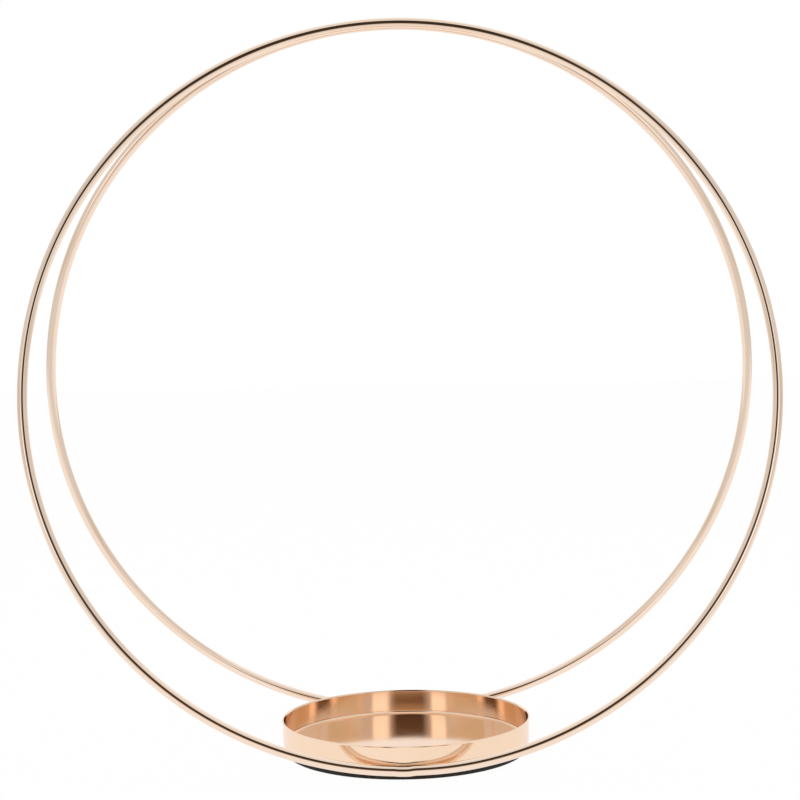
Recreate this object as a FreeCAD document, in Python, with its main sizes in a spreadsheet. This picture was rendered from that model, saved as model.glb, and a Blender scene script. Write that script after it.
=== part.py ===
import FreeCAD, Part
import math
import os
import Sketcher

# Candle ring. A shallow pressed dish stands on a glued foam pad. A hoop of round wire is welded
# to the dish's wall at the front and another at the back, and the hoops lean together until
# their tops meet, where a third bead joins them.
#
# Millimetres, +Z up. The origin is in the middle of the pad's underside, and the hoops face
# along Y, the front one at -Y.

SIZES = {
    "ring_diameter": (300.0, "outside of each hoop"),
    "wire_diameter": (4.0, "round wire of the hoops"),
    "dish_diameter": (101.0, "outside of the dish's wall"),
    "dish_height": (11.4, "underside of the dish to its rim"),
    "sheet_thickness": (0.6, "pressed sheet of the dish"),
    "corner_radius": (1.5, "inside bend between floor and wall"),
    "lip_height": (0.9, "top of the wall that is turned outwards"),
    "lip_reach": (0.3, "how far the lip stands out past the wall"),
    "rim_rounding_share": (0.35, "rounding of the rim's edges, of the sheet"),
    "pad_thickness": (1.5, "foam pad"),
    "pad_inset": (1.1, "pad's edge inside the dish's wall"),
    "tape_thickness": (0.15, "adhesive disc"),
    "tape_inset": (2.4, "adhesive disc's edge inside the dish's wall"),
    "ring_foot_rise": (0.45, "middle of a hoop's wire at its foot, above the wall's lower end"),
    "root_gap": (0.1, "gap that a weld bridges between two pieces"),
    "dish_weld_length": (8.0, "bead between hoop and dish, along the wire"),
    "dish_weld_radius_share": (0.175, "radius of that bead, of the wire"),
    "dish_weld_rise_share": (0.35, "its height above the wire's middle, of the wire"),
    "weld_penetration_share": (0.5, "its reach into the wall before trimming, of the sheet"),
    "top_weld_length": (10.0, "bead between the two hoops, along the wire"),
    "top_weld_radius_share": (0.2, "radius of that bead, of the wire"),
    "top_weld_rise_share": (0.25, "its height above the wires' middle, of the wire"),
}

# Places that follow from the sizes, as expressions on the sheet
WIRE_RADIUS = "(Sizes.wire_diameter / 2)"
RING_CENTRELINE_RADIUS = "((Sizes.ring_diameter - Sizes.wire_diameter) / 2)"
DISH_RADIUS = "(Sizes.dish_diameter / 2)"
OUTER_CORNER_RADIUS = "(Sizes.corner_radius + Sizes.sheet_thickness)"
DISH_UNDERSIDE = "(Sizes.pad_thickness + Sizes.tape_thickness)"

# A hoop's wire meets the wall just above its bend, and the other hoop at the top
RING_FOOT_HEIGHT = f"({DISH_UNDERSIDE} + {OUTER_CORNER_RADIUS} + Sizes.ring_foot_rise)"
RING_FOOT_OFFSET = f"({DISH_RADIUS} + Sizes.root_gap + {WIRE_RADIUS})"
RING_TOP_OFFSET = f"({WIRE_RADIUS} + Sizes.root_gap / 2)"
RING_LEAN = f"asin(({RING_FOOT_OFFSET} - {RING_TOP_OFFSET}) / (2 * {RING_CENTRELINE_RADIUS}))"
RING_MIDDLE_OFFSET = f"(({RING_FOOT_OFFSET} + {RING_TOP_OFFSET}) / 2)"
RING_RISE = f"({RING_CENTRELINE_RADIUS} * cos({RING_LEAN}))"

FRONT = -1
REAR = 1
FULL_TURN = 360

doc = FreeCAD.newDocument("candle_ring")


def fill_sheet():
    sheet = doc.addObject("Spreadsheet::Sheet", "Sizes")
    for row, (alias, (value, meaning)) in enumerate(SIZES.items(), 1):
        sheet.set(f"A{row}", alias)
        sheet.set(f"B{row}", str(value))
        sheet.set(f"C{row}", meaning)
        sheet.setAlias(f"B{row}", alias)
    doc.recompute()
    return sheet


def value_of(expression):
    """Number that an expression on the sheet gives now, for a sketch's first shape."""
    return float(sizes.evalExpression(expression))


def add_body(name):
    body = doc.addObject("PartDesign::Body", name)
    body.Label = name
    return body


def add_sketch(body, name, role):
    """Empty sketch on the plane of the body's own origin that has this role."""
    plane = next(item for item in body.Origin.OriginFeatures if item.Role == role)
    sketch = body.newObject("Sketcher::SketchObject", name)
    sketch.AttachmentSupport = [(plane, "")]
    sketch.MapMode = "FlatFace"
    return sketch


def dimension(sketch, name, expression, kind, *where):
    """Named dimension of a sketch, bound to the sheet."""
    index = sketch.addConstraint(Sketcher.Constraint(kind, *where, value_of(expression)))
    sketch.renameConstraint(index, name)
    sketch.setExpression(f"Constraints.{name}", expression)


def add_disc(name, radius, thickness, underside):
    """Flat round disc about Z."""
    body = add_body(name)
    outline = add_sketch(body, f"{name}_outline", "XY_Plane")
    edge = outline.addGeometry(Part.Circle(FreeCAD.Vector(), FreeCAD.Vector(0, 0, 1), value_of(radius)))
    outline.addConstraint(Sketcher.Constraint("Coincident", edge, 3, -1, 1))
    dimension(outline, "edge_radius", radius, "Radius", edge)
    disc = body.newObject("PartDesign::Pad", f"{name}_disc")
    disc.Profile = outline
    disc.setExpression("Length", thickness)
    body.setExpression("Placement.Base.z", underside)
    return body


def add_dish():
    """Tray pressed from sheet: half its section turned about Z, then the rim's edges rounded."""
    body = add_body("dish")
    section = add_sketch(body, "dish_section", "XZ_Plane")
    outer = value_of(DISH_RADIUS)
    inner = value_of(f"{DISH_RADIUS} - Sizes.sheet_thickness")
    sheet = value_of("Sizes.sheet_thickness")
    bend = value_of("Sizes.corner_radius")
    rim = value_of("Sizes.dish_height")
    lip_start = value_of("Sizes.dish_height - Sizes.lip_height")
    lip_reach = value_of("Sizes.lip_reach")
    bend_centre = FreeCAD.Vector(inner - bend, sheet + bend, 0)
    normal = FreeCAD.Vector(0, 0, 1)

    def line(start, end):
        return section.addGeometry(Part.LineSegment(FreeCAD.Vector(*start, 0), FreeCAD.Vector(*end, 0)))

    def quarter(radius):
        """Quarter of a circle from straight down to straight outwards."""
        circle = Part.Circle(bend_centre, normal, radius)
        return section.addGeometry(Part.ArcOfCircle(circle, -math.pi / 2, 0))

    underside = line((0, 0), (bend_centre.x, 0))
    outer_bend = quarter(sheet + bend)
    outer_wall = line((outer, bend_centre.y), (outer, lip_start))
    outer_lip = line((outer, lip_start), (outer + lip_reach, rim))
    rim_edge = line((outer + lip_reach, rim), (inner + lip_reach, rim))
    inner_lip = line((inner + lip_reach, rim), (inner, lip_start))
    inner_wall = line((inner, lip_start), (inner, bend_centre.y))
    inner_bend = quarter(bend)
    floor = line((bend_centre.x, sheet), (0, sheet))
    axis_edge = line((0, sheet), (0, 0))

    joints = [
        ("Tangent", underside, 2, outer_bend, 1),
        ("Tangent", outer_bend, 2, outer_wall, 1),
        ("Coincident", outer_wall, 2, outer_lip, 1),
        ("Coincident", outer_lip, 2, rim_edge, 1),
        ("Coincident", rim_edge, 2, inner_lip, 1),
        ("Coincident", inner_lip, 2, inner_wall, 1),
        ("Parallel", outer_lip, inner_lip),
        ("Horizontal", outer_wall, 2, inner_wall, 1),
        ("Tangent", inner_wall, 2, inner_bend, 2),
        ("Tangent", inner_bend, 1, floor, 1),
        ("Coincident", floor, 2, axis_edge, 1),
        ("Coincident", axis_edge, 2, underside, 1),
        ("Coincident", underside, 1, -1, 1),
        ("Coincident", inner_bend, 3, outer_bend, 3),
        ("Horizontal", underside),
        ("Vertical", outer_wall),
        ("Horizontal", rim_edge),
        ("Vertical", inner_wall),
        ("Horizontal", floor),
        ("Vertical", axis_edge),
    ]
    for joint in joints:
        section.addConstraint(Sketcher.Constraint(*joint))
    dimension(section, "outer_radius", DISH_RADIUS, "DistanceX", -1, 1, outer_wall, 2)
    dimension(section, "rim_height", "Sizes.dish_height", "DistanceY", -1, 1, outer_lip, 2)
    dimension(section, "lip_height", "Sizes.lip_height", "DistanceY", outer_lip, 1, outer_lip, 2)
    dimension(section, "lip_reach", "Sizes.lip_reach", "DistanceX", outer_lip, 1, outer_lip, 2)
    dimension(section, "floor_thickness", "Sizes.sheet_thickness", "DistanceY", -1, 1, floor, 2)
    dimension(section, "inner_bend_radius", "Sizes.corner_radius", "Radius", inner_bend)

    tray = body.newObject("PartDesign::Revolution", "dish_tray")
    tray.Profile = section
    tray.ReferenceAxis = (section, ["V_Axis"])
    tray.Angle = FULL_TURN
    doc.recompute()

    rounding = body.newObject("PartDesign::Fillet", "dish_rim_rounding")
    rim_edges = [f"Edge{number}" for number, edge in enumerate(tray.Shape.Edges, 1)
                 if edge.BoundBox.ZMin > (lip_start + rim) / 2]
    rounding.Base = (tray, rim_edges)
    rounding.setExpression("Radius", "Sizes.sheet_thickness * Sizes.rim_rounding_share")
    body.setExpression("Placement.Base.z", DISH_UNDERSIDE)
    return body


def add_ring(name, side):
    """Hoop of round wire, upright about Y, then leant towards the middle and set on its foot."""
    body = add_body(name)
    section = add_sketch(body, f"{name}_wire_section", "XY_Plane")
    centre = FreeCAD.Vector(value_of(RING_CENTRELINE_RADIUS), 0, 0)
    wire = section.addGeometry(Part.Circle(centre, FreeCAD.Vector(0, 0, 1), value_of(WIRE_RADIUS)))
    section.addConstraint(Sketcher.Constraint("PointOnObject", wire, 3, -1))
    dimension(section, "centreline_radius", RING_CENTRELINE_RADIUS, "DistanceX", -1, 1, wire, 3)
    dimension(section, "wire_radius", WIRE_RADIUS, "Radius", wire)
    hoop = body.newObject("PartDesign::Revolution", f"{name}_hoop")
    hoop.Profile = section
    hoop.ReferenceAxis = (section, ["V_Axis"])
    hoop.Angle = FULL_TURN
    body.Placement = FreeCAD.Placement(FreeCAD.Vector(), FreeCAD.Rotation(FreeCAD.Vector(side, 0, 0), 1))
    body.setExpression("Placement.Rotation.Angle", RING_LEAN)
    body.setExpression("Placement.Base.y", f"{side} * {RING_MIDDLE_OFFSET}")
    body.setExpression("Placement.Base.z", f"{RING_FOOT_HEIGHT} + {RING_RISE}")
    return body


def add_bead(name, length, radius, offset, level, neighbours):
    """Weld bead along X: a bar with round ends, trimmed to each piece that it joins."""
    body = add_body(f"{name}_blank")
    outline = add_sketch(body, f"{name}_outline", "XY_Plane")
    bar_radius = value_of(radius)
    bar_end = value_of(f"{length} / 2 - {radius}")
    normal = FreeCAD.Vector(0, 0, 1)
    right_circle = Part.Circle(FreeCAD.Vector(bar_end, 0, 0), normal, bar_radius)
    left_circle = Part.Circle(FreeCAD.Vector(-bar_end, 0, 0), normal, bar_radius)
    middle = outline.addGeometry(Part.LineSegment(FreeCAD.Vector(-bar_end - bar_radius, 0, 0),
                                                  FreeCAD.Vector(bar_end + bar_radius, 0, 0)))
    right_end = outline.addGeometry(Part.ArcOfCircle(right_circle, 0, math.pi / 2))
    crest = outline.addGeometry(Part.LineSegment(FreeCAD.Vector(bar_end, bar_radius, 0),
                                                 FreeCAD.Vector(-bar_end, bar_radius, 0)))
    left_end = outline.addGeometry(Part.ArcOfCircle(left_circle, math.pi / 2, math.pi))
    joints = [
        ("Coincident", middle, 2, right_end, 1),
        ("Tangent", right_end, 2, crest, 1),
        ("Tangent", crest, 2, left_end, 1),
        ("Coincident", left_end, 2, middle, 1),
        ("PointOnObject", right_end, 3, -1),
        ("PointOnObject", left_end, 3, -1),
        ("PointOnObject", middle, 1, -1),
        ("Symmetric", middle, 1, middle, 2, -1, 1),
        ("Horizontal", crest),
    ]
    for joint in joints:
        outline.addConstraint(Sketcher.Constraint(*joint))
    dimension(outline, "bar_radius", radius, "Radius", right_end)
    dimension(outline, "bar_length", length, "DistanceX", middle, 1, middle, 2)
    bar = body.newObject("PartDesign::Revolution", f"{name}_bar")
    bar.Profile = outline
    bar.ReferenceAxis = (outline, ["H_Axis"])
    bar.Angle = FULL_TURN
    body.setExpression("Placement.Base.y", offset)
    body.setExpression("Placement.Base.z", level)
    bead = body
    for neighbour in neighbours:
        trimmed = doc.addObject("Part::Cut", f"{name}_off_{neighbour.Name}")
        trimmed.Base = bead
        trimmed.Tool = neighbour
        bead = trimmed
    bead.Label = name
    return bead


def add_dish_weld(name, side, ring, dish):
    """Bead in the crook above a hoop's foot, against the dish's wall."""
    radius = "(Sizes.wire_diameter * Sizes.dish_weld_radius_share)"
    penetration = "Sizes.sheet_thickness * Sizes.weld_penetration_share"
    offset = f"{side} * ({DISH_RADIUS} + {radius} - {penetration})"
    level = f"{RING_FOOT_HEIGHT} + Sizes.wire_diameter * Sizes.dish_weld_rise_share"
    return add_bead(name, "Sizes.dish_weld_length", radius, offset, level, [ring, dish])


def add_top_weld(rings):
    """Bead in the valley between the two hoops' tops."""
    radius = "(Sizes.wire_diameter * Sizes.top_weld_radius_share)"
    level = f"{RING_FOOT_HEIGHT} + 2 * {RING_RISE} + Sizes.wire_diameter * Sizes.top_weld_rise_share"
    return add_bead("top_weld", "Sizes.top_weld_length", radius, "0", level, rings)


def check_and_export(pieces):
    doc.recompute()
    for item in doc.Objects:
        if "Invalid" in item.State or "Error" in item.State:
            raise RuntimeError(f"{item.Name} failed: {item.State}")
    os.makedirs("parts", exist_ok=True)
    for piece in pieces:
        shape = piece.Shape
        if shape.isNull() or not shape.isValid() or len(shape.Solids) != 1:
            raise RuntimeError(f"{piece.Label} isn't one valid solid")
        shape.exportStep(f"parts/{piece.Label}.step")
        box = shape.optimalBoundingBox(False, False)
        print(f"{piece.Label}: volume {shape.Volume:.1f}, "
              f"x {box.XMin:.2f} to {box.XMax:.2f}, y {box.YMin:.2f} to {box.YMax:.2f}, "
              f"z {box.ZMin:.2f} to {box.ZMax:.2f}")


sizes = fill_sheet()
base_pad = add_disc("base_pad", f"{DISH_RADIUS} - Sizes.pad_inset", "Sizes.pad_thickness", "0")
pad_tape = add_disc("pad_tape", f"{DISH_RADIUS} - Sizes.tape_inset", "Sizes.tape_thickness", "Sizes.pad_thickness")
dish = add_dish()
front_ring = add_ring("front_ring", FRONT)
rear_ring = add_ring("rear_ring", REAR)
doc.recompute()
front_weld = add_dish_weld("front_weld", FRONT, front_ring, dish)
rear_weld = add_dish_weld("rear_weld", REAR, rear_ring, dish)
top_weld = add_top_weld([front_ring, rear_ring])
check_and_export([base_pad, pad_tape, dish, front_ring, rear_ring, front_weld, rear_weld, top_weld])
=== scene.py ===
"""Looks of the candle ring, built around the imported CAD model.

Two polished wire hoops lean together over a shallow round dish on a foam pad. Every piece here
replaces its CAD node with a finer mesh, which takes its place and its outer sizes from that
node's box. Lengths are in metres.
"""
import math

import bpy
from mathutils import Matrix, Vector


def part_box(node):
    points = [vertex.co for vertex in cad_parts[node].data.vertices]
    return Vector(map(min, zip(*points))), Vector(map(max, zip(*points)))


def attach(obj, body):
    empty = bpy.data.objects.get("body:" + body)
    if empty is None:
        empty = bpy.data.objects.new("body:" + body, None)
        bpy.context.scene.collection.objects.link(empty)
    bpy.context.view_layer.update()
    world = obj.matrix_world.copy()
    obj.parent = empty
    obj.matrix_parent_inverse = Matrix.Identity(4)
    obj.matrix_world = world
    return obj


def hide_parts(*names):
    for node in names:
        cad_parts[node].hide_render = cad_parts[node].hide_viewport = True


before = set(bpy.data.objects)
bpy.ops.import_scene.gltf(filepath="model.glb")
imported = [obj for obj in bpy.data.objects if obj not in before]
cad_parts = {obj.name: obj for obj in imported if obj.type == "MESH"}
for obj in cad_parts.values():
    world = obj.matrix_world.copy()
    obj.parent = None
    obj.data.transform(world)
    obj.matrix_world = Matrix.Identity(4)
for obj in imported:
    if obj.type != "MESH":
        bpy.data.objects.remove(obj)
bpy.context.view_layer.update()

BODY = "root"
FRONT = -1
REAR = 1
FULL_TURN = 2 * math.pi
QUARTER_TURN = math.pi / 2
MILLIMETRE = 0.001

# Stock that the object is made of
WIRE_RADIUS = 2 * MILLIMETRE
SHEET_THICKNESS = 0.6 * MILLIMETRE
INSIDE_BEND = 0.95 * MILLIMETRE
LIP_HEIGHT = 0.55 * MILLIMETRE
LIP_REACH = 0.25 * MILLIMETRE
LIP_BEND = 0.3 * MILLIMETRE
RIM_ROUNDING = 0.12 * MILLIMETRE
FOAM_EDGE_ROUNDING = 0.25 * MILLIMETRE

# Fineness of the meshes. Some steps on each side of a hoop's joint are replaced by finer ones
HOOP_STATIONS = 720
HOOP_STEPS_REFINED = 4
JOINT_STATIONS = 60
WIRE_SIDES = 40
DISH_SIDES = 384
FOAM_SIDES = 360
BEND_STEPS = 8
RIM_STEPS = 5
FLOOR_SHARES = (
    0.02, 0.06, 0.12, 0.2, 0.3, 0.4, 0.46, 0.52, 0.58,
    0.64, 0.7, 0.76, 0.82, 0.88, 0.93, 0.965, 0.985, 0.997,
)
WALL_SHARES = (0.03, 0.12, 0.3, 0.5, 0.7, 0.88, 0.97)
FOAM_SHARES = (0.05, 0.2, 0.4, 0.6, 0.8, 0.92, 0.98)
FOAM_WALL_STEPS = 12
FILM_SHARES = (0.1, 0.4, 0.7, 0.95, 1.0)
BEAD_STATIONS = 121
BEAD_SIDES = 28

# Forms of the pressed dish: its outside curves in towards the foot, and its floor rises to the wall
WALL_CURVE_RADIUS = 88 * MILLIMETRE
WALL_UPRIGHT_SHARE = 0.58
FLOOR_RISE_WIDTH = 28 * MILLIMETRE
FLOOR_RISE_RADIUS = 540 * MILLIMETRE
INSIDE_SLACK = 0.01 * MILLIMETRE

# Small faults that bending and polishing leave. Each wave is a sum of (turns, share, phase)
HOOP_RADIAL_WAVE = 0.14 * MILLIMETRE
HOOP_SIDE_WAVE = 0.18 * MILLIMETRE
FRONT_RADIAL_PARTS = ((2, 0.5, 0.3), (3, 0.5, 1.9), (5, 0.3, 4.1), (9, 0.12, 0.8))
FRONT_SIDE_PARTS = ((2, 0.6, 2.2), (4, 0.4, 0.5), (7, 0.2, 3.0))
REAR_RADIAL_PARTS = ((2, 0.4, 4.0), (3, 0.6, 0.2), (6, 0.3, 2.4), (11, 0.1, 5.0))
REAR_SIDE_PARTS = ((3, 0.5, 1.1), (4, 0.5, 3.9), (8, 0.2, 0.6))
WALL_WAVE = 0.03 * MILLIMETRE
WALL_PARTS = ((3, 0.6, 0.4), (5, 0.5, 2.1), (8, 0.35, 1.2), (13, 0.22, 4.0), (21, 0.08, 0.9))
FLOOR_WAVE = 0.015 * MILLIMETRE
FLOOR_PARTS = ((2, 0.8, 1.0), (3, 0.5, 3.3), (5, 0.2, 0.2))
NEAR_WALL_POWER = 6

# Joint where the ends of a hoop's wire meet, a little beside its lowest point
JOINT_ANGLE = math.radians(0.7)
JOINT_STEP = 0.16 * MILLIMETRE
JOINT_STEP_LENGTH = 10 * MILLIMETRE
JOINT_BLEND = 1.3 * MILLIMETRE
JOINT_SHOULDER = 0.03 * MILLIMETRE
JOINT_SHOULDER_WIDTH = 1.1 * MILLIMETRE

# Weld beads: piece, node, share of the wire's radius, drop below the CAD bead's top, phase
BEADS = (
    ("front_weld_bead", "front_weld", 0.35, 0.4 * MILLIMETRE, 0.2),
    ("rear_weld_bead", "rear_weld", 0.35, 0.4 * MILLIMETRE, 0.7),
    ("top_weld_bead", "top_weld", 0.4, 0, 0.4),
)
BEAD_RIPPLE_LENGTH = 0.8 * MILLIMETRE
BEAD_RIPPLE_SHARE = 0.07
BEAD_UNEVEN_SHARE = 0.04
BEAD_UNEVEN_TURNS = 3
BEAD_UNEVEN_TWIST = 9
BEAD_LEAST_SHARE = 0.02
BEAD_END_POWER = 6

# Cells on the foam's edge: waves of (turns round the pad, radians per metre of height)
FOAM_CELL_DEPTH = 0.05 * MILLIMETRE
FOAM_CELL_WAVES = ((97, 2000), (141, -5200), (173, 9100))
FOAM_FINE_CELL_SHARE = 0.6

# Camera, found from the edges of both hoops and of the dish in the photograph
PICTURE_PIXELS = 800
FOCAL_PIXELS = 1612.5
CAMERA_DISTANCE = 0.6588
CAMERA_HEIGHT = 0.1657
CAMERA_SIDE_ANGLE = math.radians(-0.04)
CAMERA_PITCH = math.radians(1.958)
CAMERA_ROLL = math.radians(1.05)
SENSOR_WIDTH_MM = 36.0

# Surroundings, soft lamp and floor. Levels are strengths of glow
WHITE_LEVEL = 1.0
AMBIENT_LEVEL = 0.8
LAMP_POWER = 3.0
LAMP_SIZE = 1.2
LAMP_HEIGHT = 1.1
FLOOR_HALF_SIZE = 6.0
FLOOR_SHADE = 0.9
FLOOR_WHITE_SHARE = 0.97

# Light tent round the object
TENT_HALF_WIDTH = 1.2
TENT_REAR = 1.35
TENT_FRONT = -1.2
TENT_HEIGHT = 1.65
SIDE_LEVEL = 0.76
FRONT_ROOF_LEVEL = 0.86
REAR_ROOF_LEVEL = 1.0
FRONT_LEVEL = 0.66
REAR_LEVEL = 1.0

# Table in front of the object, as the metal sees it
FRONT_TABLE_LEVEL = 0.78
FRONT_TABLE_START = -0.15
FRONT_TABLE_FULL = -0.35
FRONT_TABLE_HEIGHT = 0.5 * MILLIMETRE

# Warmer band along the front part of the tent's sides
WARM_BAND_COLOUR = (0.68, 0.62, 0.49, 1.0)
WARM_BAND_LOW = 0.24
WARM_BAND_HIGH = 0.44
WARM_BAND_SOFTNESS = 0.03
WARM_BAND_END = -0.12

# Two bright strips on the tent's front wall, duller above STRIP_HIGH
STRIP_LEVEL = 1.28
STRIP_MIDDLE = -0.12
STRIP_INNER = 0.46
STRIP_OUTER = 0.91
STRIP_LOW = 0.10
STRIP_HIGH = 0.51
STRIP_SOFTNESS = 0.03
UPPER_STRIP_LEVEL = 1.0
UPPER_STRIP_HIGH = 0.80

# Dark card round the lens, painted shade that shows only in the metal, with painted light that makes
# it paler and warmer towards the table. Each stop is (share of the fade's height, colour)
CARD_PLACE = -0.50
CARD_MIDDLE = -0.035
CARD_HALF_WIDTH = 0.17
CARD_HEIGHT = 0.76
CARD_SOFTNESS = 0.05
CARD_PAINTED_FADE_HEIGHT = 0.28
CARD_PAINTED_SHADE_FADE = (
    (0.175, (0.80, 0.78, 0.76, 1.0)),
    (0.225, (0.46, 0.35, 0.24, 1.0)),
    (0.392, (0.34, 0.22, 0.13, 1.0)),
    (0.408, (0.115, 0.062, 0.031, 1.0)),
    (0.95, (0.045, 0.032, 0.022, 1.0)),
)

# Colours, linear
SHEET_GOLDS = ((0.945, 0.715, 0.535, 1.0), (0.925, 0.695, 0.51, 1.0))
SHEET_EDGE_TINT = (0.99, 0.95, 0.945, 1.0)
WIRE_GOLDS = ((0.925, 0.745, 0.61, 1.0), (0.905, 0.72, 0.58, 1.0))
WIRE_EDGE_TINT = (1.0, 1.0, 1.0, 1.0)
FOAM_BLACK = (0.009, 0.007, 0.005, 1.0)
FOAM_GREY = (0.020, 0.016, 0.012, 1.0)
FILM_GREY = (0.30, 0.29, 0.27, 1.0)
FILM_PALE = (0.42, 0.41, 0.38, 1.0)

# Finish of the materials. Roughness is (smoothest, roughest), and noise is (scale, detail)
SHEET_ROUGHNESS = (0.085, 0.12)
WIRE_ROUGHNESS = (0.03, 0.07)
BEAD_ROUGHNESS = (0.08, 0.2)
FOAM_ROUGHNESS = (0.7, 0.95)
FILM_ROUGHNESS = (0.35, 0.6)
CLOUD_NOISE = (28, 3)
LINE_NOISE = (1, 2)
PEEL_NOISE = (420, 1)
HAZE_NOISE = (75, 4)
FOAM_NOISE = (700, 4)
FILM_NOISE = (300, 3)
FOAM_CELL_SCALE = 2600
SHEET_LINE_STRETCH = (2500, 40, 40)
WIRE_LINE_STRETCH = (20, 2500, 2500)
BEAD_LINE_STRETCH = (900, 900, 900)
SHEET_LINE_HEIGHT = 0.0002 * MILLIMETRE
WIRE_LINE_HEIGHT = 0.0004 * MILLIMETRE
BEAD_LINE_HEIGHT = 0.002 * MILLIMETRE
PEEL_PER_LINE_HEIGHT = 2
FOAM_CELL_HEIGHT = 0.06 * MILLIMETRE
FOAM_PATCH_HEIGHT = 0.04 * MILLIMETRE
FILM_PATCH_HEIGHT = 0.01 * MILLIMETRE

# Parts of a noise over which a roughness and a colour change
NOISE_LOW = 0.3
NOISE_HIGH = 0.7
MIX_START = 0.35
MIX_END = 0.65


def wave(angle, parts):
    """Sum of a few sines round the object, each (turns, share, phase)."""
    return sum(share * math.sin(turns * angle + phase) for turns, share, phase in parts)


def bump_shape(distance, width):
    """Smooth bell, one at distance zero."""
    return math.exp(-(distance / width) ** 2)


def add_object(name, data):
    """Puts a mesh, a lamp or a camera into the scene."""
    thing = bpy.data.objects.new(name, data)
    bpy.context.scene.collection.objects.link(thing)
    return thing


def add_mesh(name, points, faces, material):
    """Puts a mesh with one material into the scene."""
    mesh = bpy.data.meshes.new(name)
    mesh.from_pydata(points, [], faces)
    mesh.update()
    mesh.materials.append(material)
    return add_object(name, mesh)


def add_piece(name, points, faces, grain, replaced, material):
    """Makes a smooth mesh piece that stands for one CAD node. Polishing lines follow its grain."""
    piece = add_mesh(name, points, faces, material)
    mesh = piece.data
    mesh.polygons.foreach_set("use_smooth", [True] * len(mesh.polygons))
    attribute = mesh.attributes.new("grain", "FLOAT_VECTOR", "POINT")
    attribute.data.foreach_set("vector", [value for point in grain for value in point])
    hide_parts(replaced)
    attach(piece, BODY)
    return piece


def tube_faces(stations, sides, closed):
    """Faces between the rings of points of a tube, with the rings joined end to end if closed."""
    faces = []
    for station in range(stations if closed else stations - 1):
        here = station * sides
        there = (station + 1) % stations * sides
        for side in range(sides):
            beside = (side + 1) % sides
            faces.append((here + side, here + beside, there + beside, there + side))
    return faces


# Hoops

def hoop_angles():
    """Places along a hoop from its foot, closer together at the joint."""
    spacing = FULL_TURN / HOOP_STATIONS
    reach = HOOP_STEPS_REFINED * spacing
    coarse_steps = range(HOOP_STEPS_REFINED + 1, HOOP_STATIONS - HOOP_STEPS_REFINED)
    shares = [2 * step / JOINT_STATIONS - 1 for step in range(JOINT_STATIONS + 1)]
    fine = [JOINT_ANGLE + reach * share for share in shares]
    coarse = [JOINT_ANGLE + spacing * step for step in coarse_steps]
    return fine + coarse


def build_hoop(name, node, material, radial_parts, side_parts):
    """A wire hoop that leans, with slight waves, and a step where its ends meet."""
    low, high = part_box(node)
    side = FRONT if low.y + high.y < 0 else REAR
    outer_y = low.y if side == FRONT else high.y
    inner_y = high.y if side == FRONT else low.y
    foot = Vector((0, outer_y - side * WIRE_RADIUS, low.z + WIRE_RADIUS))
    top = Vector((0, inner_y + side * WIRE_RADIUS, high.z - WIRE_RADIUS))
    middle = (foot + top) / 2
    radius = (top - foot).length / 2
    upward = (top - foot).normalized()
    across = Vector((1, 0, 0))
    normal = across.cross(upward)
    points = []
    grain = []
    angles = hoop_angles()
    for angle in angles:
        free = math.sin(angle) ** 2
        radial_shift = HOOP_RADIAL_WAVE * free * wave(angle, radial_parts)
        side_shift = HOOP_SIDE_WAVE * free * wave(angle, side_parts)
        outward = across * math.sin(angle) - upward * math.cos(angle)
        centre = middle + outward * (radius + radial_shift) + normal * side_shift
        along = (angle - JOINT_ANGLE) * radius
        step_height = JOINT_STEP * math.tanh(along / JOINT_BLEND)
        centre -= outward * (step_height * bump_shape(along, JOINT_STEP_LENGTH))
        reach = WIRE_RADIUS + JOINT_SHOULDER * bump_shape(along, JOINT_SHOULDER_WIDTH)
        for side_index in range(WIRE_SIDES):
            turn = FULL_TURN * side_index / WIRE_SIDES
            points.append(centre + (outward * math.cos(turn) + normal * math.sin(turn)) * reach)
            grain.append((along, math.cos(turn) * WIRE_RADIUS, math.sin(turn) * WIRE_RADIUS))
    faces = tube_faces(len(angles), WIRE_SIDES, True)
    return add_piece(name, points, faces, grain, node, material)


# Dish

def arc_points(centre_radius, centre_height, radius, start, end, steps):
    """Profile points on an arc, both ends included."""
    points = []
    for step in range(steps + 1):
        angle = start + (end - start) * step / steps
        out = centre_radius + radius * math.cos(angle)
        points.append((out, centre_height + radius * math.sin(angle)))
    return points


def rounded_corner(before, corner, after, rounding, steps):
    """Points of the arc that rounds off a corner between two straight runs."""
    here = Vector(corner)
    back = (Vector(before) - here).normalized()
    ahead = (Vector(after) - here).normalized()
    half = back.angle(ahead) / 2
    middle = here + (back + ahead).normalized() * rounding / math.sin(half)
    first = here + back * rounding / math.tan(half) - middle
    last = here + ahead * rounding / math.tan(half) - middle
    sweep = first.angle(last)
    arc = []
    for step in range(steps + 1):
        angle = sweep * step / steps
        spoke = (first * math.sin(sweep - angle) + last * math.sin(angle)) / math.sin(sweep)
        arc.append(middle + spoke)
    return arc


def run_points(start, end, shares):
    """Points at given shares of the way between two points."""
    return [start.lerp(end, share) for share in shares]


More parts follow.
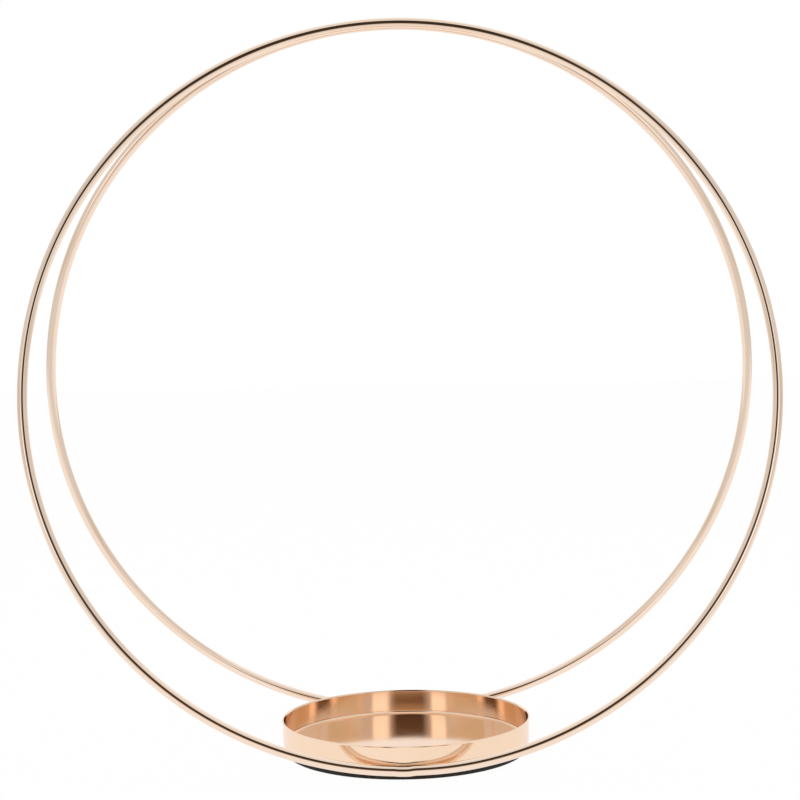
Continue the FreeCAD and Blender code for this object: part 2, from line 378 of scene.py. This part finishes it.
def dish_profile(wall_radius, bottom, top):
    """Section of the dish from the middle of its inside over the rim to the middle underneath."""
    inner_radius = wall_radius - SHEET_THICKNESS
    floor = bottom + SHEET_THICKNESS
    lip_start = top - LIP_HEIGHT
    corners = [
        ((inner_radius, floor), INSIDE_BEND, BEND_STEPS),
        ((inner_radius, lip_start), LIP_BEND, RIM_STEPS),
        ((inner_radius + LIP_REACH, top), RIM_ROUNDING, RIM_STEPS),
        ((wall_radius + LIP_REACH, top), RIM_ROUNDING, RIM_STEPS),
        ((wall_radius, lip_start), LIP_BEND, RIM_STEPS),
        ((wall_radius, bottom), INSIDE_BEND + SHEET_THICKNESS, BEND_STEPS),
    ]
    inside_middle = Vector((0, floor))
    underside_middle = Vector((0, bottom))
    stops = [inside_middle] + [corner for corner, rounding, steps in corners] + [underside_middle]
    arcs = []
    for index, (corner, rounding, steps) in enumerate(corners):
        arcs.append(rounded_corner(stops[index], corner, stops[index + 2], rounding, steps))
    profile = run_points(inside_middle, arcs[0][0], FLOOR_SHARES)
    for arc, following in zip(arcs, arcs[1:]):
        profile += arc + run_points(arc[-1], following[0], WALL_SHARES)
    profile += arcs[-1]
    profile += run_points(underside_middle, arcs[-1][-1], FLOOR_SHARES)[::-1]
    return profile


def revolve(profile, sides, shape):
    """Points, faces and grain of a closed turned form. shape moves a point (radius, height, angle)."""
    points = []
    grain = []
    travelled = 0
    previous = profile[0]
    for radius, height in profile:
        travelled += math.dist((radius, height), previous)
        previous = (radius, height)
        for side in range(sides):
            angle = FULL_TURN * side / sides
            moved_radius, moved_height = shape(radius, height, angle)
            across = math.cos(angle)
            along = math.sin(angle)
            points.append((moved_radius * across, moved_radius * along, moved_height))
            grain.append((travelled, radius * across, radius * along))
    faces = tube_faces(len(profile), sides, False)
    for first, order in ((0, 1), ((len(profile) - 1) * sides, -1)):
        centre = len(points)
        around = points[first:first + sides]
        points.append((0, 0, sum(point[2] for point in around) / sides))
        grain.append((grain[first][0], 0, 0))
        for side in range(sides):
            pair = (first + side, first + (side + 1) % sides)
            faces.append((centre,) + pair[::-order])
    return points, faces, grain


def build_dish(material):
    """The pressed dish, with its outside and its inside each moved a little from the plain form."""
    low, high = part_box("dish")
    lean = math.atan2(LIP_REACH, LIP_HEIGHT)
    rounded_reach = LIP_REACH - RIM_ROUNDING * (math.tan(lean) + 1 / math.cos(lean) - 1)
    wall_radius = (high.x - low.x) / 2 - rounded_reach
    upright_height = low.z + (high.z - low.z) * WALL_UPRIGHT_SHARE
    wall_foot = low.z + SHEET_THICKNESS + INSIDE_BEND
    floor = low.z + SHEET_THICKNESS
    inner_radius = wall_radius - SHEET_THICKNESS
    wall_top = high.z - LIP_HEIGHT

    def shape(radius, height, angle):
        """Where a point of the plain form goes."""
        inside = height > floor - INSIDE_SLACK and radius < inner_radius + INSIDE_SLACK
        height_share = (height - low.z) / (high.z - low.z)
        radius_share = radius / wall_radius
        near_wall_share = min(radius_share, 1) ** NEAR_WALL_POWER
        above = max(height, wall_foot) - upright_height
        curve = 0 if inside else -min(above, 0) ** 2 / (2 * WALL_CURVE_RADIUS)
        wall_shift = curve + WALL_WAVE * height_share * wave(angle, WALL_PARTS)
        moved_radius = radius + near_wall_share * wall_shift
        sag_share = math.sin(math.pi * radius_share) ** 2 * (1 - near_wall_share)
        moved_height = height + FLOOR_WAVE * sag_share * wave(angle, FLOOR_PARTS)
        if inside:
            along_floor = max(radius - inner_radius + FLOOR_RISE_WIDTH, 0)
            rise_share = min(max((wall_top - height) / (wall_top - wall_foot), 0), 1)
            moved_height += rise_share * along_floor ** 2 / (2 * FLOOR_RISE_RADIUS)
        return moved_radius, moved_height

    profile = dish_profile(wall_radius, low.z, high.z)
    points, faces, grain = revolve(profile, DISH_SIDES, shape)
    return add_piece("polished_dish", points, faces, grain, "dish", material)


# Foam pad and its adhesive film

def build_foam(material):
    """The foam pad, with rounded edges and torn cells round its side."""
    low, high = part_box("base_pad")
    radius = (high.x - low.x) / 2
    edge = FOAM_EDGE_ROUNDING
    profile = [((radius - edge) * share, high.z) for share in FOAM_SHARES]
    profile += arc_points(radius - edge, high.z - edge, edge, QUARTER_TURN, 0, RIM_STEPS)
    wall = high.z - low.z - 2 * edge
    for step in range(1, FOAM_WALL_STEPS):
        profile.append((radius, high.z - edge - wall * step / FOAM_WALL_STEPS))
    profile += arc_points(radius - edge, low.z + edge, edge, 0, -QUARTER_TURN, RIM_STEPS)
    profile += [((radius - edge) * share, low.z) for share in reversed(FOAM_SHARES)]

    def shape(at_radius, height, angle):
        """Where a point of the plain form goes."""
        edge_share = max(0, (at_radius - radius + 2 * edge) / (2 * edge))
        waves = [math.sin(turns * angle + rise * height) for turns, rise in FOAM_CELL_WAVES]
        first, second, fine = waves
        cell = first * second + FOAM_FINE_CELL_SHARE * fine
        return at_radius - FOAM_CELL_DEPTH * edge_share * (1 + cell) / 2, height

    points, faces, grain = revolve(profile, FOAM_SIDES, shape)
    piece = add_piece("foam_pad", points, faces, grain, "base_pad", material)
    return piece


def unmoved(radius, height, angle):
    """Shape of a turned form that is left as its profile is."""
    return radius, height


def build_film(material):
    """The thin adhesive disc between the pad and the dish."""
    low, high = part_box("pad_tape")
    radius = (high.x - low.x) / 2
    profile = [(radius * share, high.z) for share in FILM_SHARES]
    profile += [(radius * share, low.z) for share in reversed(FILM_SHARES)]
    points, faces, grain = revolve(profile, FOAM_SIDES, unmoved)
    return add_piece("adhesive_film", points, faces, grain, "pad_tape", material)


# Weld beads

def build_bead(name, node, radius_share, sink, phase, material):
    """A weld bead along X with rounded ends and the overlapping ripples of a moved torch."""
    low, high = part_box(node)
    length = high.x - low.x
    radius = radius_share * WIRE_RADIUS
    centre = Vector((0, (low.y + high.y) / 2, high.z - radius - sink))
    points = []
    grain = []
    for station in range(BEAD_STATIONS):
        share = station / (BEAD_STATIONS - 1)
        lean = math.cos(math.pi * (1 - share))
        along = lean * length / 2
        end_cap = math.sqrt(max(0, 1 - lean ** BEAD_END_POWER))
        cycle = (along / BEAD_RIPPLE_LENGTH + phase) % 1
        ripple = 1 + BEAD_RIPPLE_SHARE * (math.sqrt(cycle) - 1)
        reach = max(radius * end_cap * ripple, radius * BEAD_LEAST_SHARE)
        for side in range(BEAD_SIDES):
            turn = FULL_TURN * side / BEAD_SIDES
            swing = math.sin(BEAD_UNEVEN_TURNS * turn + BEAD_UNEVEN_TWIST * share + phase)
            uneven = 1 + BEAD_UNEVEN_SHARE * swing
            out = Vector((0, math.cos(turn), math.sin(turn))) * reach * uneven
            points.append(centre + Vector((along, 0, 0)) + out)
            grain.append((along, out.y, out.z))
    faces = tube_faces(BEAD_STATIONS, BEAD_SIDES, False)
    faces.append(tuple(reversed(range(BEAD_SIDES))))
    last = (BEAD_STATIONS - 1) * BEAD_SIDES
    faces.append(tuple(range(last, last + BEAD_SIDES)))
    return add_piece(name, points, faces, grain, node, material)


# Shader nodes

def new_material(name):
    """New material with its nodes, its links and its main shader."""
    material = bpy.data.materials.new(name)
    material.use_nodes = True
    nodes = material.node_tree.nodes
    return material, nodes, material.node_tree.links, nodes["Principled BSDF"]


def new_glow(name):
    """New material that only glows, with its nodes, its links and its emission node."""
    material, nodes, links, shader = new_material(name)
    nodes.remove(shader)
    glow = nodes.new("ShaderNodeEmission")
    links.new(glow.outputs["Emission"], nodes["Material Output"].inputs["Surface"])
    return material, nodes, links, glow


def grey(level):
    """Colour without a tint."""
    return level, level, level, 1.0


def object_place(nodes):
    """Socket with a point's place on its own object."""
    return nodes.new("ShaderNodeTexCoord").outputs["Object"]


def object_axes(nodes, links):
    """Sockets X, Y and Z of a point's place on its own object."""
    split = nodes.new("ShaderNodeSeparateXYZ")
    links.new(object_place(nodes), split.inputs["Vector"])
    return split.outputs


def add_noise(nodes, links, vector, scale, detail, stretch=(1, 1, 1)):
    """Noise whose coordinates are first stretched along each axis."""
    mapping = nodes.new("ShaderNodeMapping")
    mapping.inputs["Scale"].default_value = stretch
    noise = nodes.new("ShaderNodeTexNoise")
    noise.inputs["Scale"].default_value = scale
    noise.inputs["Detail"].default_value = detail
    links.new(vector, mapping.inputs["Vector"])
    links.new(mapping.outputs["Vector"], noise.inputs["Vector"])
    return noise.outputs["Fac"]


def add_math(nodes, links, operation, first, second):
    """Maths node for two values, each a socket or a number."""
    maths = nodes.new("ShaderNodeMath")
    maths.operation = operation
    for socket, value in zip(maths.inputs, (first, second)):
        if isinstance(value, (int, float)):
            socket.default_value = value
        else:
            links.new(value, socket)
    return maths.outputs["Value"]


def add_range(nodes, links, value, low, high, start=NOISE_LOW, end=NOISE_HIGH):
    """Goes from low to high while the value goes from start to end, and stays there beyond."""
    span = nodes.new("ShaderNodeMapRange")
    span.inputs["From Min"].default_value = start
    span.inputs["From Max"].default_value = end
    span.inputs["To Min"].default_value = low
    span.inputs["To Max"].default_value = high
    links.new(value, span.inputs["Value"])
    return span.outputs["Result"]


def add_fall(nodes, links, value, edge, softness):
    """One below an edge and zero above it, with a soft change."""
    return add_range(nodes, links, value, 1, 0, edge - softness, edge + softness)


def add_window(nodes, links, value, low, high, softness):
    """One between two values, and zero outside, with soft edges."""
    rise = add_range(nodes, links, value, 0, 1, low - softness, low + softness)
    fall = add_fall(nodes, links, value, high, softness)
    return add_math(nodes, links, "MULTIPLY", rise, fall)


def add_colours(nodes, links, factor, stops):
    """Colour that goes through some stops, each (share, colour), as the factor grows."""
    ramp = nodes.new("ShaderNodeValToRGB")
    elements = ramp.color_ramp.elements
    for share, colour in stops[1:-1]:
        elements.new(share)
    for element, (share, colour) in zip(elements, stops):
        element.position = share
        element.color = colour
    links.new(factor, ramp.inputs["Fac"])
    return ramp.outputs["Color"]


def add_bump(nodes, links, height, distance, normal=None):
    """Small relief on top of any relief that the normal already has."""
    bump = nodes.new("ShaderNodeBump")
    bump.inputs["Distance"].default_value = distance
    links.new(height, bump.inputs["Height"])
    if normal is not None:
        links.new(normal, bump.inputs["Normal"])
    return bump.outputs["Normal"]


def show_mix(nodes, links, factor, first, second):
    """Makes the surface look like the first shader at factor zero and like the second at one."""
    mix = nodes.new("ShaderNodeMixShader")
    links.new(factor, mix.inputs["Fac"])
    links.new(first, mix.inputs[1])
    links.new(second, mix.inputs[2])
    links.new(mix.outputs["Shader"], nodes["Material Output"].inputs["Surface"])


# Materials of the object

def add_patches(nodes, links, shader, colour_noise, roughness_noise, colours, roughness):
    """Gives a shader a colour and a roughness that each vary with a noise."""
    stops = tuple(zip((MIX_START, MIX_END), colours))
    links.new(add_colours(nodes, links, colour_noise, stops), shader.inputs["Base Color"])
    links.new(add_range(nodes, links, roughness_noise, *roughness), shader.inputs["Roughness"])


def plated_metal(name, colours, edge_tint, roughness, stretch, line_height):
    """Polished rose gold plating: faint clouds, fine polishing lines and a slight orange peel."""
    material, nodes, links, shader = new_material(name)
    place = object_place(nodes)
    grain = nodes.new("ShaderNodeAttribute")
    grain.attribute_name = "grain"
    clouds = add_noise(nodes, links, place, *CLOUD_NOISE)
    haze = add_noise(nodes, links, place, *HAZE_NOISE)
    lines = add_noise(nodes, links, grain.outputs["Vector"], *LINE_NOISE, stretch)
    peel = add_noise(nodes, links, place, *PEEL_NOISE)
    add_patches(nodes, links, shader, clouds, haze, colours, roughness)
    fine = add_bump(nodes, links, lines, line_height)
    relief = add_bump(nodes, links, peel, PEEL_PER_LINE_HEIGHT * line_height, fine)
    links.new(relief, shader.inputs["Normal"])
    shader.inputs["Metallic"].default_value = 1.0
    shader.inputs["Specular Tint"].default_value = edge_tint
    return material


def foam_material():
    """Matt black foam with small closed cells."""
    material, nodes, links, shader = new_material("closed_cell_foam")
    place = object_place(nodes)
    cells = nodes.new("ShaderNodeTexVoronoi")
    cells.inputs["Scale"].default_value = FOAM_CELL_SCALE
    links.new(place, cells.inputs["Vector"])
    patches = add_noise(nodes, links, place, *FOAM_NOISE)
    colours = (FOAM_BLACK, FOAM_GREY)
    add_patches(nodes, links, shader, patches, patches, colours, FOAM_ROUGHNESS)
    coarse = add_bump(nodes, links, cells.outputs["Distance"], FOAM_CELL_HEIGHT)
    relief = add_bump(nodes, links, patches, FOAM_PATCH_HEIGHT, coarse)
    links.new(relief, shader.inputs["Normal"])
    return material


def film_material():
    """Pale adhesive film, slightly uneven."""
    material, nodes, links, shader = new_material("acrylic_adhesive_film")
    patches = add_noise(nodes, links, object_place(nodes), *FILM_NOISE)
    colours = (FILM_GREY, FILM_PALE)
    add_patches(nodes, links, shader, patches, patches, colours, FILM_ROUGHNESS)
    links.new(add_bump(nodes, links, patches, FILM_PATCH_HEIGHT), shader.inputs["Normal"])
    return material


# Materials of the studio

def seen_directly(nodes, links):
    """One for rays that show the background: from the camera, off metal or through glass."""
    path = nodes.new("ShaderNodeLightPath").outputs
    either = add_math(nodes, links, "MAXIMUM", path["Is Camera Ray"], path["Is Glossy Ray"])
    return add_math(nodes, links, "MAXIMUM", either, path["Is Transmission Ray"])


def floor_material():
    """Pale floor that shows nearly white, and keeps a share of the object's shadow."""
    material, nodes, links, white = new_glow("pale_floor")
    pale = nodes.new("ShaderNodeBsdfDiffuse")
    pale.inputs["Color"].default_value = grey(FLOOR_SHADE)
    share = add_math(nodes, links, "MULTIPLY", seen_directly(nodes, links), FLOOR_WHITE_SHARE)
    show_mix(nodes, links, share, pale.outputs["BSDF"], white.outputs["Emission"])
    return material


def plain_cloth(name, level):
    """Evenly lit tent cloth."""
    material, _, _, glow = new_glow(name)
    glow.inputs["Strength"].default_value = level
    return material


def side_cloth():
    """Tent cloth with a warmer band a little above the table, along the front part of the tent."""
    material, nodes, links, glow = new_glow("tent_side_cloth")
    axes = object_axes(nodes, links)
    soft = WARM_BAND_SOFTNESS
    band = add_window(nodes, links, axes["Z"], WARM_BAND_LOW, WARM_BAND_HIGH, soft)
    in_front = add_fall(nodes, links, axes["Y"], WARM_BAND_END, soft)
    warmth = add_math(nodes, links, "MULTIPLY", band, in_front)
    stops = ((0, grey(SIDE_LEVEL)), (1, WARM_BAND_COLOUR))
    links.new(add_colours(nodes, links, warmth, stops), glow.inputs["Color"])
    return material


def front_table_material():
    """Table between the object and the front cloth, which grows duller away from the object."""
    material, nodes, links, glow = new_glow("front_table")
    depth = object_axes(nodes, links)["Y"]
    ends = (FRONT_TABLE_FULL, FRONT_TABLE_START)
    level = add_range(nodes, links, depth, FRONT_TABLE_LEVEL, WHITE_LEVEL, *ends)
    links.new(level, glow.inputs["Strength"])
    return material


def panel_place(nodes, links, middle):
    """Distance of a point on an upright panel from the panel's middle line, and its height."""
    axes = object_axes(nodes, links)
    offset = add_math(nodes, links, "SUBTRACT", axes["X"], middle)
    return add_math(nodes, links, "ABSOLUTE", offset, 0), axes["Z"]


def front_cloth():
    """Tent cloth with a bright strip on each side, which is duller in its upper part."""
    material, nodes, links, glow = new_glow("front_cloth")
    soft = STRIP_SOFTNESS
    aside, height = panel_place(nodes, links, STRIP_MIDDLE)
    across = add_window(nodes, links, aside, STRIP_INNER, STRIP_OUTER, soft)
    upward = add_window(nodes, links, height, STRIP_LOW, UPPER_STRIP_HIGH, soft)
    inside = add_math(nodes, links, "MULTIPLY", across, upward)
    gains = (STRIP_LEVEL - FRONT_LEVEL, UPPER_STRIP_LEVEL - FRONT_LEVEL)
    gain = add_range(nodes, links, height, *gains, STRIP_HIGH - soft, STRIP_HIGH + soft)
    added = add_math(nodes, links, "MULTIPLY", inside, gain)
    level = add_math(nodes, links, "ADD", FRONT_LEVEL, added)
    links.new(level, glow.inputs["Strength"])
    return material


def painted_shade_card_material():
    """Dark card of painted shade with soft edges, with painted light that makes it paler and warmer
    towards the table.
    """
    material, nodes, links, glow = new_glow("painted_shade_card")
    aside, height = panel_place(nodes, links, CARD_MIDDLE)
    inside = add_fall(nodes, links, aside, CARD_HALF_WIDTH, CARD_SOFTNESS)
    painted_shade_share = add_range(nodes, links, height, 0, 1, 0, CARD_PAINTED_FADE_HEIGHT)
    links.new(add_colours(nodes, links, painted_shade_share, CARD_PAINTED_SHADE_FADE), glow.inputs["Color"])
    clear = nodes.new("ShaderNodeBsdfTransparent")
    show_mix(nodes, links, inside, clear.outputs["BSDF"], glow.outputs["Emission"])
    return material


# Studio

def add_stage(name, corners, material):
    """Flat studio panel."""
    thing = add_mesh(name, corners, [tuple(range(len(corners)))], material)
    return thing


def add_reflected_stage(name, corners, material):
    """Flat studio panel that shows only in reflections."""
    thing = add_stage(name, corners, material)
    thing.visible_camera = False
    thing.visible_diffuse = False
    thing.visible_transmission = False
    thing.visible_volume_scatter = False
    thing.visible_shadow = False


def level_corners(half_width, near, far, height):
    """Corners of a level panel."""
    return [
        (-half_width, near, height),
        (half_width, near, height),
        (half_width, far, height),
        (-half_width, far, height),
    ]


def upright_corners(start, end, height):
    """Corners of a panel that stands on the table from start to end, each (x, y)."""
    return [(*start, 0), (*end, 0), (*end, height), (*start, height)]


def build_studio():
    """Floor, light tent, the table in front and the dark card of painted shade round the lens."""
    half = FLOOR_HALF_SIZE
    add_stage("floor", level_corners(half, -half, half, 0), floor_material())
    wide = TENT_HALF_WIDTH
    sides = side_cloth()
    rear = plain_cloth("tent_rear_cloth", REAR_LEVEL)
    walls = (
        ("tent_front", (-wide, TENT_FRONT), (wide, TENT_FRONT), front_cloth()),
        ("tent_rear", (-wide, TENT_REAR), (wide, TENT_REAR), rear),
        ("tent_left", (-wide, TENT_FRONT), (-wide, TENT_REAR), sides),
        ("tent_right", (wide, TENT_FRONT), (wide, TENT_REAR), sides),
    )
    for name, start, end, cloth in walls:
        add_reflected_stage(name, upright_corners(start, end, TENT_HEIGHT), cloth)
    roofs = (
        ("tent_front_roof", TENT_FRONT, 0, FRONT_ROOF_LEVEL),
        ("tent_rear_roof", 0, TENT_REAR, REAR_ROOF_LEVEL),
    )
    for name, near, far, level in roofs:
        corners = level_corners(wide, near, far, TENT_HEIGHT)
        add_reflected_stage(name, corners, plain_cloth(name, level))
    table = level_corners(wide, TENT_FRONT, FRONT_TABLE_START, FRONT_TABLE_HEIGHT)
    add_reflected_stage("front_table", table, front_table_material())
    # The dark card is painted shade round the lens, with painted light that makes it paler and warmer
    # towards the table
    reach = CARD_HALF_WIDTH + CARD_SOFTNESS
    left = (CARD_MIDDLE - reach, CARD_PLACE)
    right = (CARD_MIDDLE + reach, CARD_PLACE)
    add_reflected_stage("painted_shade_card", upright_corners(left, right, CARD_HEIGHT), painted_shade_card_material())


def build_lights():
    """White surroundings, a little dimmer for scattered light, and a soft lamp overhead."""
    world = bpy.data.worlds.new("white_studio")
    bpy.context.scene.world = world
    world.use_nodes = True
    nodes = world.node_tree.nodes
    links = world.node_tree.links
    background = nodes["Background"]
    background.inputs["Color"].default_value = grey(WHITE_LEVEL)
    level = add_range(nodes, links, seen_directly(nodes, links), AMBIENT_LEVEL, WHITE_LEVEL, 0, 1)
    links.new(level, background.inputs["Strength"])
    data = bpy.data.lights.new("soft_lamp", "AREA")
    data.energy = LAMP_POWER
    data.size = LAMP_SIZE
    lamp = add_object("soft_lamp", data)
    lamp.location = (0, 0, LAMP_HEIGHT)
    lamp.visible_glossy = False


def build_camera():
    """Camera in the place from which the photograph was taken."""
    forward = Vector((
        -math.sin(CAMERA_SIDE_ANGLE) * math.cos(CAMERA_PITCH),
        math.cos(CAMERA_SIDE_ANGLE) * math.cos(CAMERA_PITCH),
        -math.sin(CAMERA_PITCH),
    ))
    level_right = forward.cross(Vector((0, 0, 1))).normalized()
    level_up = level_right.cross(forward)
    right = level_right * math.cos(CAMERA_ROLL) - level_up * math.sin(CAMERA_ROLL)
    up = level_up * math.cos(CAMERA_ROLL) + level_right * math.sin(CAMERA_ROLL)
    place = Vector((
        CAMERA_DISTANCE * math.sin(CAMERA_SIDE_ANGLE),
        -CAMERA_DISTANCE * math.cos(CAMERA_SIDE_ANGLE),
        CAMERA_HEIGHT,
    ))
    data = bpy.data.cameras.new("camera")
    data.sensor_width = SENSOR_WIDTH_MM
    data.lens = FOCAL_PIXELS / PICTURE_PIXELS * SENSOR_WIDTH_MM
    camera = add_object("camera", data)
    axes = Matrix((right, up, -forward)).transposed().to_4x4()
    camera.matrix_world = Matrix.Translation(place) @ axes
    bpy.context.scene.camera = camera


sheet_metal = plated_metal(
    "rose_gold_sheet", SHEET_GOLDS, SHEET_EDGE_TINT,
    SHEET_ROUGHNESS, SHEET_LINE_STRETCH, SHEET_LINE_HEIGHT,
)
wire_metal = plated_metal(
    "rose_gold_wire", WIRE_GOLDS, WIRE_EDGE_TINT,
    WIRE_ROUGHNESS, WIRE_LINE_STRETCH, WIRE_LINE_HEIGHT,
)
bead_metal = plated_metal(
    "rose_gold_weld", WIRE_GOLDS, WIRE_EDGE_TINT,
    BEAD_ROUGHNESS, BEAD_LINE_STRETCH, BEAD_LINE_HEIGHT,
)

build_hoop("front_wire_hoop", "front_ring", wire_metal, FRONT_RADIAL_PARTS, FRONT_SIDE_PARTS)
build_hoop("rear_wire_hoop", "rear_ring", wire_metal, REAR_RADIAL_PARTS, REAR_SIDE_PARTS)
build_dish(sheet_metal)
build_foam(foam_material())
build_film(film_material())
for bead in BEADS:
    build_bead(*bead, bead_metal)

build_studio()
build_lights()
build_camera()
bpy.context.scene.view_settings.view_transform = "Standard"
